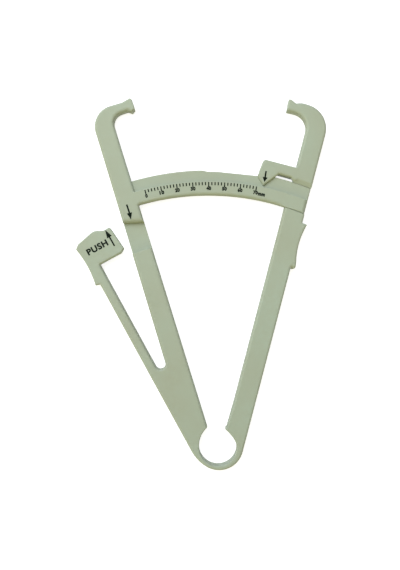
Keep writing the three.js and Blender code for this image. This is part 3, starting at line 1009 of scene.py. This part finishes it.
def lettering(text, height, width, bold):
    # the built-in face, made a mesh, with its height and width set, and its middle at the origin
    curve = bpy.data.curves.new(text, "FONT")
    curve.body = text
    curve.extrude = prints["sunk"] / 2
    curve.space_character = prints["spread"]
    curve.offset = bold
    curve.resolution_u = detail["letter"]
    letters = inScene(text, curve)
    bpy.context.view_layer.update()
    mesh = bpy.data.meshes.new_from_object(letters.evaluated_get(bpy.context.evaluated_depsgraph_get()))
    spots = np.empty(len(mesh.vertices) * 3)
    mesh.vertices.foreach_get("co", spots)
    spots = spots.reshape(-1, 3)
    faces = [list(polygon.vertices) for polygon in mesh.polygons]
    bpy.data.objects.remove(letters)
    low, high = spots.min(axis=0), spots.max(axis=0)
    middle, size = (low[:2] + high[:2]) / 2, high[:2] - low[:2]
    spots[:, :2] = (spots[:, :2] - middle) * (width, height) / size
    spots[:, 2] -= low[2]
    return spots, faces


def placed(part, degrees, spot):
    # turned about its own middle, then moved to its place
    spots = part[0].copy()
    spots[:, :2] = turned(spots[:, :2], degrees) + np.asarray(spot)
    return spots, part[1]


def scalePrint():
    parts = []
    half = prints["markWidth"] / 2
    for mark in range(prints["marks"]):
        numbered = mark % prints["perNumber"] == 0
        angle = prints["zeroAngle"] + mark * prints["pitch"]
        drop = scale["shift"] * math.sin(math.radians(angle))
        top = prints["markTop"] - drop
        foot = top - (prints["longMark"] if numbered else prints["markLength"])
        parts.append(prism(turned([(-half, foot), (half, foot), (half, top), (-half, top)], -angle)))
        if numbered:
            text = str(mark * prints["perMark"])
            digits = lettering(text, prints["digitHeight"], prints["digitWidth"] * len(text), prints["bold"])
            parts.append(placed(digits, -angle, turned((0, prints["digitMiddle"] - drop), -angle)))
    angle = prints["unitAngle"]
    unit = lettering("mm", prints["unitHeight"], prints["unitWidth"], prints["bold"])
    parts.append(placed(unit, -angle, turned((0, prints["unitMiddle"]), -angle)))
    joined("scale_print", parts, "left_side", thickness)


def arrow(name, tilt, shift=(0, 0)):
    # a shaft and a head on one line: points lie to the two sides of it by half their width
    spots, shaftWidth, headWidth = arrows[name]
    tail, foot, tip = (turned(spot, tilt) + np.asarray(shift) for spot in spots)
    left = leftOf((tip - tail) / np.linalg.norm(tip - tail))
    shaft, head = left * shaftWidth / 2, left * headWidth / 2
    return prism([tail - shaft, foot - shaft, foot - head, tip, foot + head, foot + shaft, tail + shaft])


scalePrint()
joined("arm_arrow", [arrow("arm", limbs["leftTilt"])], "left_side", thickness)
joined("pointer_arrow", [arrow("pointer", -limbs["rightTilt"])], "right_side", thickness)
word = placed(lettering("PUSH", prints["wordHeight"], prints["wordWidth"], prints["wordBold"]), outwardsAngle,
              turned(prints["wordMiddle"], outwardsAngle) + leverPivot)
joined("paddle_print", [arrow("paddle", outwardsAngle, leverPivot), word], "press_lever", thickness)
print("print made")


# Stage: a plain floor, soft light and the camera over the caliper's face
stageSizes = {               # metres and watts
    "floorHalf": 3.0,
    "floorDrop": 0.00005,
    "floorSockets": {"Roughness": 0.9, "Specular IOR Level": 0.1, "Emission Color": (1, 1, 1, 1)},
    "floorGlow": 0.82,
    "worldLevel": 0.4,
    "warmBelow": (1.75, 1.5, 0.5, 1),
    "coolAbove": (0.8, 0.9, 1.1, 1),
    "coolLeft": (0.88, 0.98, 1.16, 1),
    "plainRight": (1.0, 1.0, 1.0, 1),
    "skyFade": 0.8,          # the sky's colours are full from this far out
    "skyMiddle": 0.1,        # and plain here
    "leftLevel": 1.45,
    "rightLevel": 0.45,
    "keyPlace": (-0.25, 0.36, 0.67),
    "keySize": 0.7,
    "keyPower": 5.32,
    "keyColour": (0.96, 0.99, 1.09),
}


def seenStraight(tree):
    # 1 for the rays that show a thing to the camera, in a reflection or through a clear piece, else 0
    paths = addNode(tree, "ShaderNodeLightPath").outputs
    seen = computed(tree, "MAXIMUM", paths["Is Camera Ray"], paths["Is Glossy Ray"])
    return computed(tree, "MAXIMUM", seen, paths["Is Transmission Ray"])


def floorPiece():
    half, low = stageSizes["floorHalf"], -stageSizes["floorDrop"]
    mesh = bpy.data.meshes.new("floor")
    mesh.from_pydata([(-half, -half, low), (half, -half, low), (half, half, low), (-half, half, low)], [],
                     [(0, 1, 2, 3)])
    floor = inScene("floor", mesh)
    material, tree, shader = newMaterial("paleFloor")
    glow = ranged(tree, seenStraight(tree), 0, 1, 0, stageSizes["floorGlow"])
    feed(tree, shader, stageSizes["floorSockets"])
    feed(tree, shader, {"Base Color": linear("floor"), "Emission Strength": glow})
    mesh.materials.append(material)


def softWorld():
    # cooler on the left and above, warmer below, and plain white where it is seen
    world = bpy.data.worlds.new("softWorld")
    bpy.context.scene.world = world
    world.use_nodes = True
    tree = world.node_tree
    tree.nodes.clear()
    fade, middle = stageSizes["skyFade"], stageSizes["skyMiddle"]
    direction = addNode(tree, "ShaderNodeTexCoord").outputs["Generated"]
    split = addNode(tree, "ShaderNodeSeparateXYZ", {"Vector": direction}).outputs
    toRight = ranged(tree, split["X"], -fade, fade, 0, 1)
    below = ranged(tree, split["Y"], -fade, middle, 1, 0)
    above = ranged(tree, split["Y"], middle, fade, 0, 1)
    sky = colourMix(tree, toRight, stageSizes["coolLeft"], stageSizes["plainRight"])
    sky = colourMix(tree, below, sky, stageSizes["warmBelow"])
    sky = colourMix(tree, above, sky, stageSizes["coolAbove"])
    level = ranged(tree, split["X"], -1, 1, stageSizes["worldLevel"] * stageSizes["leftLevel"],
                   stageSizes["worldLevel"] * stageSizes["rightLevel"])
    light = addNode(tree, "ShaderNodeBackground", {"Color": sky, "Strength": level}).outputs[0]
    white = addNode(tree, "ShaderNodeBackground", {"Color": (1, 1, 1, 1), "Strength": 1}).outputs[0]
    mixed = addNode(tree, "ShaderNodeMixShader", {0: seenStraight(tree), 1: light, 2: white}).outputs[0]
    addNode(tree, "ShaderNodeOutputWorld", {"Surface": mixed})


def keyLight():
    lamp = bpy.data.lights.new("keyLight", "AREA")
    lamp.size = stageSizes["keySize"]
    lamp.energy = stageSizes["keyPower"]
    lamp.color = stageSizes["keyColour"]
    light = inScene("keyLight", lamp)
    light.visible_camera = False
    light.location = stageSizes["keyPlace"]
    light.rotation_euler = (-Vector(stageSizes["keyPlace"])).to_track_quat("-Z", "Y").to_euler()


view = {                     # millimetres
    "place": (-1.329, -0.442, 369.1),
    "lens": 48.69,
    "sensor": 36.0,
}


def photoCamera():
    lens = bpy.data.cameras.new("photoCamera")
    lens.sensor_fit = "VERTICAL"
    lens.sensor_height = view["sensor"]
    lens.lens = view["lens"]
    camera = inScene("photoCamera", lens)
    camera.location = Vector(view["place"]) * mm
    bpy.context.scene.camera = camera


floorPiece()
softWorld()
keyLight()
photoCamera()
bpy.context.scene.view_settings.view_transform = "Standard"
print("stage made")
